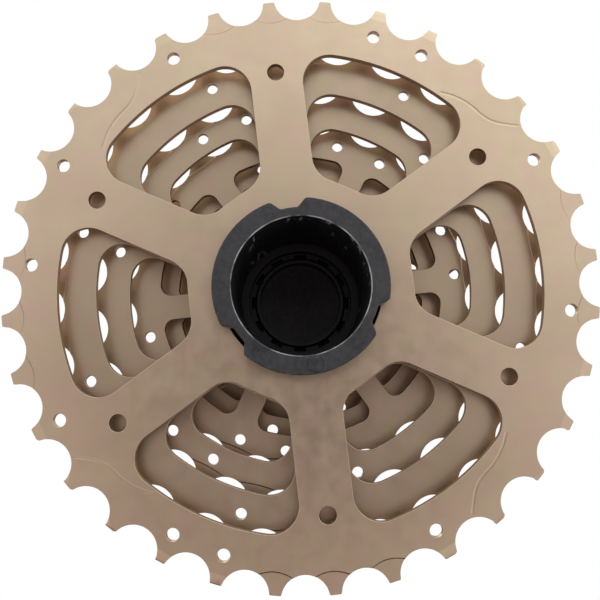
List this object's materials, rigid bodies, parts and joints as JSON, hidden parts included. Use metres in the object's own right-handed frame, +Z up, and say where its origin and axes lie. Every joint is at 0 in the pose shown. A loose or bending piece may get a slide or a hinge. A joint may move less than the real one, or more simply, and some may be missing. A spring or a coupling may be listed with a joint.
{
  "type": "bicycle cassette sprocket set",
  "caption": "Stack of toothed bicycle sprockets with open windows, spacer rings and a lock ring on a flanged, splined storage core.",
  "frame": {"origin": "on the common axis, in the back (spoke-side) face of the largest sprocket", "axes": "+Y along the common axis from the largest sprocket to the smallest; +Z up as the part is shown standing on edge; +X to the right seen from the largest sprocket's back"},
  "size_m": [0.1302, 0.0455, 0.1302],
  "materials": {
    "sprocket_nickel": "satin nickel plate, warm champagne tone",
    "washer_nickel": "bright nickel plate",
    "lockring_black": "black coated steel with a soft sheen",
    "core_plastic": "fine matt moulded black",
    "spacer_plastic": "matt moulded black"
  },
  "bodies": {
    "sprocket_32t": {"sprocket_32t": "sprocket_nickel"},
    "core_sleeve": {"core_sleeve": "core_plastic"},
    "spacer_1": {"spacer_1": "spacer_plastic"},
    "sprocket_28t": {"sprocket_28t": "sprocket_nickel"},
    "spacer_2": {"spacer_2": "spacer_plastic"},
    "sprocket_24t": {"sprocket_24t": "sprocket_nickel"},
    "spacer_3": {"spacer_3": "spacer_plastic"},
    "sprocket_21t": {"sprocket_21t": "sprocket_nickel"},
    "spacer_4": {"spacer_4": "spacer_plastic"},
    "sprocket_19t": {"sprocket_19t": "sprocket_nickel"},
    "spacer_5": {"spacer_5": "spacer_plastic"},
    "sprocket_17t": {"sprocket_17t": "sprocket_nickel"},
    "spacer_6": {"spacer_6": "spacer_plastic"},
    "sprocket_15t": {"sprocket_15t": "sprocket_nickel"},
    "sprocket_13t": {"sprocket_13t": "sprocket_nickel"},
    "sprocket_11t": {"sprocket_11t": "sprocket_nickel"},
    "lockring_washer": {"lockring_washer": "washer_nickel"},
    "lockring": {"lockring": "lockring_black"},
    "core_cap": {"core_cap": "core_plastic"}
  },
  "joints": [
    {"name": "core_slide", "type": "slide", "parent": "sprocket_32t", "child": "core_sleeve", "axis": [0, -1, 0], "range_m": [0, 0.042]},
    {"name": "spacer_1_slide", "type": "slide", "parent": "sprocket_32t", "child": "spacer_1", "axis": [0, 1, 0], "range_m": [0, 0.0353]},
    {"name": "sprocket_28t_slide", "type": "slide", "parent": "spacer_1", "child": "sprocket_28t", "axis": [0, 1, 0], "range_m": [0, 0.0329]},
    {"name": "spacer_2_slide", "type": "slide", "parent": "sprocket_28t", "child": "spacer_2", "axis": [0, 1, 0], "range_m": [0, 0.0309]},
    {"name": "sprocket_24t_slide", "type": "slide", "parent": "spacer_2", "child": "sprocket_24t", "axis": [0, 1, 0], "range_m": [0, 0.0285]},
    {"name": "spacer_3_slide", "type": "slide", "parent": "sprocket_24t", "child": "spacer_3", "axis": [0, 1, 0], "range_m": [0, 0.0266]},
    {"name": "sprocket_21t_slide", "type": "slide", "parent": "spacer_3", "child": "sprocket_21t", "axis": [0, 1, 0], "range_m": [0, 0.0242]},
    {"name": "spacer_4_slide", "type": "slide", "parent": "sprocket_21t", "child": "spacer_4", "axis": [0, 1, 0], "range_m": [0, 0.0222]},
    {"name": "sprocket_19t_slide", "type": "slide", "parent": "spacer_4", "child": "sprocket_19t", "axis": [0, 1, 0], "range_m": [0, 0.0198]},
    {"name": "spacer_5_slide", "type": "slide", "parent": "sprocket_19t", "child": "spacer_5", "axis": [0, 1, 0], "range_m": [0, 0.0179]},
    {"name": "sprocket_17t_slide", "type": "slide", "parent": "spacer_5", "child": "sprocket_17t", "axis": [0, 1, 0], "range_m": [0, 0.0155]},
    {"name": "spacer_6_slide", "type": "slide", "parent": "sprocket_17t", "child": "spacer_6", "axis": [0, 1, 0], "range_m": [0, 0.0135]},
    {"name": "sprocket_15t_slide", "type": "slide", "parent": "spacer_6", "child": "sprocket_15t", "axis": [0, 1, 0], "range_m": [0, 0.0111]},
    {"name": "sprocket_13t_slide", "type": "slide", "parent": "sprocket_15t", "child": "sprocket_13t", "axis": [0, 1, 0], "range_m": [0, 0.0092]},
    {"name": "sprocket_11t_slide", "type": "slide", "parent": "sprocket_13t", "child": "sprocket_11t", "axis": [0, 1, 0], "range_m": [0, 0.0048]},
    {"name": "lockring_travel", "type": "slide", "parent": "sprocket_11t", "child": "lockring_washer", "axis": [0, 1, 0], "range_m": [0, 0.0064]},
    {"name": "lockring_turn", "type": "hinge", "parent": "lockring_washer", "child": "lockring", "pos_m": [0, 0.03748, 0], "axis": [0, 1, 0], "range_deg": [0, 2160]},
    {"name": "core_cap_pull", "type": "slide", "parent": "lockring", "child": "core_cap", "axis": [0, 1, 0], "range_m": [0, 0.008]}
  ],
  "couplings": [
    {"joint": "lockring_travel", "follows": "lockring_turn", "m_per_rad": 0.00016844}
  ]
}
